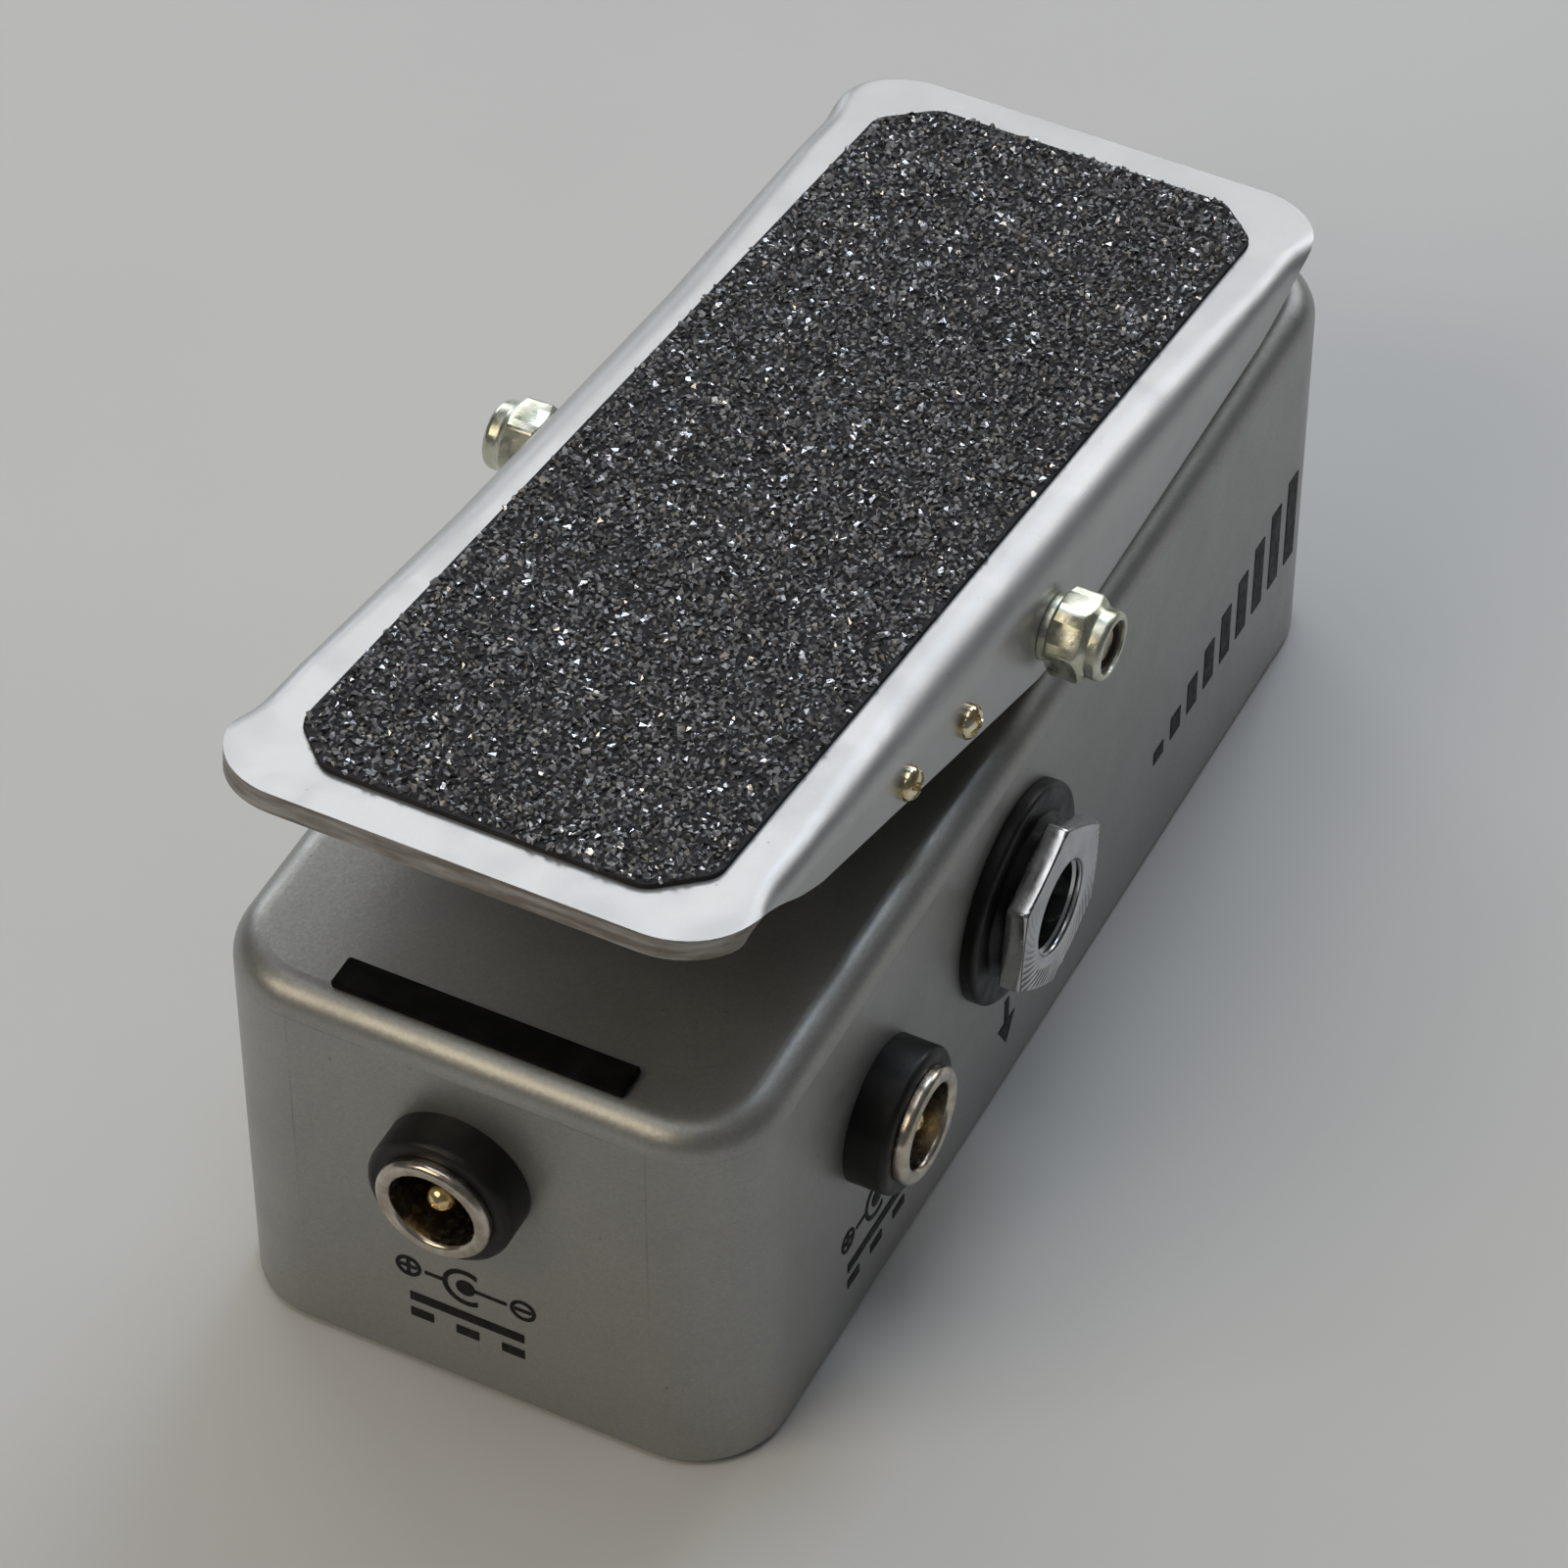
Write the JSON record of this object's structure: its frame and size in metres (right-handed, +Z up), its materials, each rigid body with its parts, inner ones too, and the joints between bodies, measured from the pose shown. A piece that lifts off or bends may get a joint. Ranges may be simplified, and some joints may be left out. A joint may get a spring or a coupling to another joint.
{
  "type": "volume pedal",
  "caption": "Small foot volume pedal: a rocking treadle on a cast case turns a potentiometer through a sector rack and pinion, with signal jacks at the sides and power jacks.",
  "frame": {"origin": "centre of the rubber sole, on the surface that the pedal stands on", "axes": "+X across, towards the output jack; +Y along the case, away from the power inlet; +Z up"},
  "size_m": [0.0461, 0.0977, 0.0502],
  "materials": {
    "case_paint": "satin silver paint, fine metallic flake, softly worn along the edges",
    "treadle_paint": "lighter satin silver paint on steel sheet",
    "grip_grit": "coarse black grit sheet with bright grains",
    "sole_rubber": "matte ribbed non-slip sheet",
    "strip_rubber": "matte",
    "zinc_screws": "bright zinc plate",
    "bracket_steel": "zinc-plated sheet",
    "bush_brass": "turned",
    "axle_steel": "turned",
    "nut_zinc": "zinc plate with a faint yellow tint",
    "spacer_nylon": "natural nylon",
    "rack_steel": "stamped sheet",
    "rack_screw_brass": "small plated screws",
    "pinion_nylon": "moulded acetal",
    "pot_shell": "moulded",
    "jack_nickel": "bright nickel plate",
    "jack_black": "satin moulded",
    "pin_gold": "plated",
    "tinned_tabs": "tinned",
    "spring_bronze": "spring strip",
    "board_green": "solder mask",
    "chip_black": "moulded",
    "cap_sleeve": "shrink sleeve",
    "film_cap_red": "dipped",
    "resistor_tan": "lacquered",
    "trimmer_blue": "moulded",
    "wire_pvc": "insulated",
    "mark_ink": "screen-printed ink"
  },
  "bodies": {
    "case": {"sole": "sole_rubber", "bottom_cover": "case_paint", "cover_screws": "zinc_screws", "case": "case_paint", "near_strip": "strip_rubber", "far_strip": "strip_rubber", "pivot_bracket": "bracket_steel", "bracket_screws": "zinc_screws", "axle_bushes": "bush_brass", "pot_bracket": "bracket_steel", "pot_bracket_screws": "zinc_screws", "pot_body": "pot_shell", "pot_nut": "jack_nickel", "pot_tabs": "tinned_tabs", "output_ring": "jack_black", "output_nut": "jack_nickel", "output_bushing": "jack_nickel", "output_frame": "bracket_steel", "output_stack": "chip_black", "output_spring": "spring_bronze", "input_ring": "jack_black", "input_nut": "jack_nickel", "input_bushing": "jack_nickel", "input_frame": "bracket_steel", "input_stack": "chip_black", "input_spring": "spring_bronze", "dc_in_body": "jack_black", "dc_in_sleeve": "jack_nickel", "dc_in_pin": "pin_gold", "dc_in_nut": "jack_black", "dc_in_tabs": "tinned_tabs", "dc_out_body": "jack_black", "dc_out_sleeve": "jack_nickel", "dc_out_pin": "pin_gold", "dc_out_nut": "jack_black", "dc_out_tabs": "tinned_tabs", "circuit_board": "board_green", "board_screws": "zinc_screws", "chips": "chip_black", "electrolytic_caps": "cap_sleeve", "film_caps": "film_cap_red", "resistors": "resistor_tan", "level_trimmer": "trimmer_blue", "hookup_wires": "wire_pvc", "printed_marks": "mark_ink"},
    "treadle": {"treadle_plate": "treadle_paint", "grip_pad": "grip_grit", "treadle_stops": "strip_rubber", "axle": "axle_steel", "axle_nuts": "nut_zinc", "axle_washers": "nut_zinc", "axle_spacers": "spacer_nylon", "sector_rack": "rack_steel", "rack_screws": "rack_screw_brass"},
    "pot_rotor": {"pinion": "pinion_nylon", "pot_shaft": "axle_steel"}
  },
  "joints": [
    {"name": "treadle_pivot", "type": "hinge", "parent": "case", "child": "treadle", "pos_m": [0, 0, 0.0371], "axis": [1, 0, 0], "range_deg": [0, 17.6]},
    {"name": "pot_spin", "type": "hinge", "parent": "case", "child": "pot_rotor", "pos_m": [0.011, -0.02058, 0.02545], "axis": [1, 0, 0], "range_deg": [-156, 0]}
  ],
  "couplings": [
    {"joint": "pot_spin", "follows": "treadle_pivot", "ratio": -8.8333}
  ]
}
